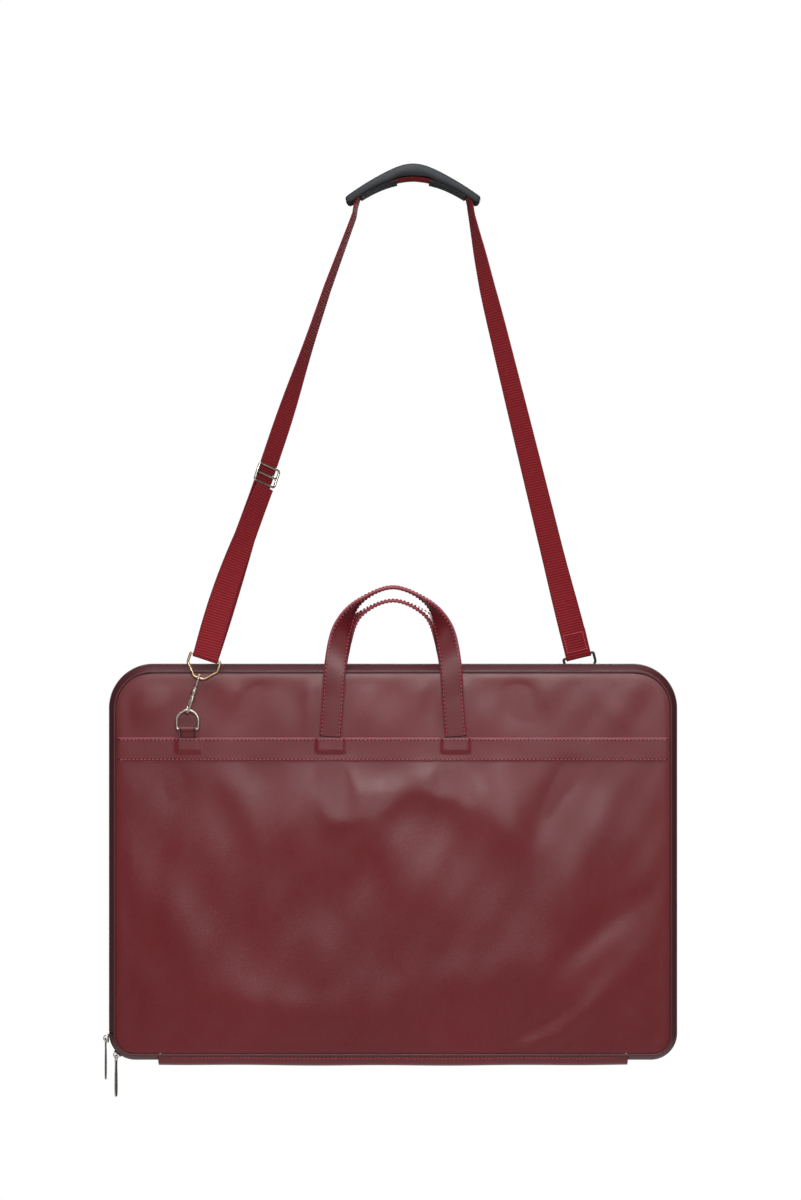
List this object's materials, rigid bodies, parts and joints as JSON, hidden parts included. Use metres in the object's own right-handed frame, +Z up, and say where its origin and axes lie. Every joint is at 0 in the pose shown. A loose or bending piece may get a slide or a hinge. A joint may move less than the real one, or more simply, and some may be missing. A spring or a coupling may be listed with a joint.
{
  "type": "portfolio case",
  "caption": "Slim leather portfolio case for flat artwork, with zip round three sides, two carrying handles, and an adjustable shoulder strap on snap hooks.",
  "frame": {"origin": "middle of the strap's underside below the shoulder pad, where a shoulder or peg carries the case", "axes": "+Z up, +X to the right seen from the front, front cover towards -Y"},
  "size_m": [0.6463, 0.0724, 1.0492],
  "materials": {
    "leather": "smooth oxblood leather, satin",
    "edge_leather": "oxblood leather binding, matt",
    "webbing": "woven crimson webbing",
    "zip_fabric": "woven zip tape",
    "zip_teeth": "coiled nylon teeth",
    "board": "stiffener board",
    "lining": "woven lining",
    "pad_rubber": "dark moulded rubber, matt",
    "nickel": "brushed nickel plate",
    "dark_metal": "gunmetal"
  },
  "bodies": {
    "strap": {"shoulder_pad": "pad_rubber", "webbing_under_pad": "webbing", "webbing_left": "webbing", "webbing_right": "webbing", "left_strap_ring": "nickel", "right_strap_ring": "dark_metal"},
    "buckle": {"buckle_frame": "nickel", "buckle_bar": "nickel"},
    "back_case": {"back_leather_panel": "leather", "back_stiffener_board": "board", "back_lining": "lining", "back_piping": "edge_leather", "back_band": "leather", "back_gusset": "edge_leather", "back_zip_tape": "zip_fabric", "back_zip_teeth": "zip_teeth", "back_spine": "leather", "back_ring_tab": "leather", "back_d_ring": "nickel", "back_hook_eye": "nickel", "closed_corner_gusset": "edge_leather", "closed_corner_zip_tape": "zip_fabric", "closed_corner_zip_teeth": "zip_teeth"},
    "front_cover": {"front_leather_panel": "leather", "front_stiffener_board": "board", "front_lining": "lining", "front_piping": "edge_leather", "front_band": "leather", "front_gusset": "edge_leather", "front_zip_tape": "zip_fabric", "front_zip_teeth": "zip_teeth", "front_spine": "leather", "front_ring_tab": "leather", "front_d_ring": "nickel", "front_hook_eye": "nickel"},
    "front_handle": {"front_handle": "leather"},
    "back_handle": {"back_handle": "leather"},
    "front_hook": {"front_hook": "nickel"},
    "front_hook_gate": {"front_hook_gate": "nickel"},
    "back_hook": {"back_hook": "nickel"},
    "back_hook_gate": {"back_hook_gate": "nickel"},
    "side_slider": {"side_slider_body": "nickel", "side_slider_bail": "nickel"},
    "side_pull": {"side_pull": "nickel"},
    "corner_slider": {"corner_slider_body": "nickel", "corner_slider_bail": "nickel"},
    "corner_pull": {"corner_pull": "nickel"}
  },
  "joints": [
    {"name": "case_swing", "type": "hinge", "parent": "strap", "child": "back_case", "pos_m": [-0.0225, 0, -0.56], "axis": [0.9899, 0.1417, 0], "range_deg": [-30, 30]},
    {"name": "cover_opening", "type": "hinge", "parent": "back_case", "child": "front_cover", "pos_m": [-0.0225, 0.0035, -0.9975], "axis": [1, 0, 0], "range_deg": [0, 180]},
    {"name": "front_handle_fold", "type": "hinge", "parent": "front_cover", "child": "front_handle", "pos_m": [-0.0225, -0.0264, -0.627], "axis": [1, 0, 0], "range_deg": [0, 160]},
    {"name": "back_handle_fold", "type": "hinge", "parent": "back_case", "child": "back_handle", "pos_m": [-0.0225, 0.0264, -0.627], "axis": [-1, 0, 0], "range_deg": [0, 160]},
    {"name": "front_hook_swivel", "type": "hinge", "parent": "front_cover", "child": "front_hook", "pos_m": [-0.2515, -0.031, -0.596], "axis": [0.328, 0, 0.9447], "range_deg": [-36, 0]},
    {"name": "front_gate_press", "type": "hinge", "parent": "front_hook", "child": "front_hook_gate", "pos_m": [-0.24696, -0.02846, -0.58011], "axis": [-0.8877, -0.342, 0.3082], "range_deg": [0, 25], "stiffness_Nm_per_rad": 0.02, "springref_deg": -20.05},
    {"name": "back_hook_swivel", "type": "hinge", "parent": "back_case", "child": "back_hook", "pos_m": [0.2065, 0.031, -0.596], "axis": [-0.328, 0, 0.9447], "range_deg": [-36, 0]},
    {"name": "back_gate_press", "type": "hinge", "parent": "back_hook", "child": "back_hook_gate", "pos_m": [0.20196, 0.02846, -0.58011], "axis": [0.8877, 0.342, 0.3082], "range_deg": [0, 25], "stiffness_Nm_per_rad": 0.02, "springref_deg": -20.05},
    {"name": "side_slider_travel", "type": "slide", "parent": "back_case", "child": "side_slider", "axis": [0, 0, 1], "range_m": [0, 0.36]},
    {"name": "side_pull_swing", "type": "hinge", "parent": "side_slider", "child": "side_pull", "pos_m": [-0.3461, 0, -0.967], "axis": [0, 1, 0], "range_deg": [0, 150]},
    {"name": "corner_slider_travel", "type": "hinge", "parent": "back_case", "child": "corner_slider", "pos_m": [-0.3125, 0, -0.961], "axis": [0, -1, 0], "range_deg": [0, 40]},
    {"name": "corner_pull_swing", "type": "hinge", "parent": "corner_slider", "child": "corner_pull", "pos_m": [-0.33454, 0, -0.98636], "axis": [0, 1, 0], "range_deg": [-20, 12]},
    {"name": "strap_length_slide", "type": "slide", "parent": "strap", "child": "buckle", "axis": [0.3152, 0.0565, 0.9474], "range_m": [0, 0.045]}
  ]
}
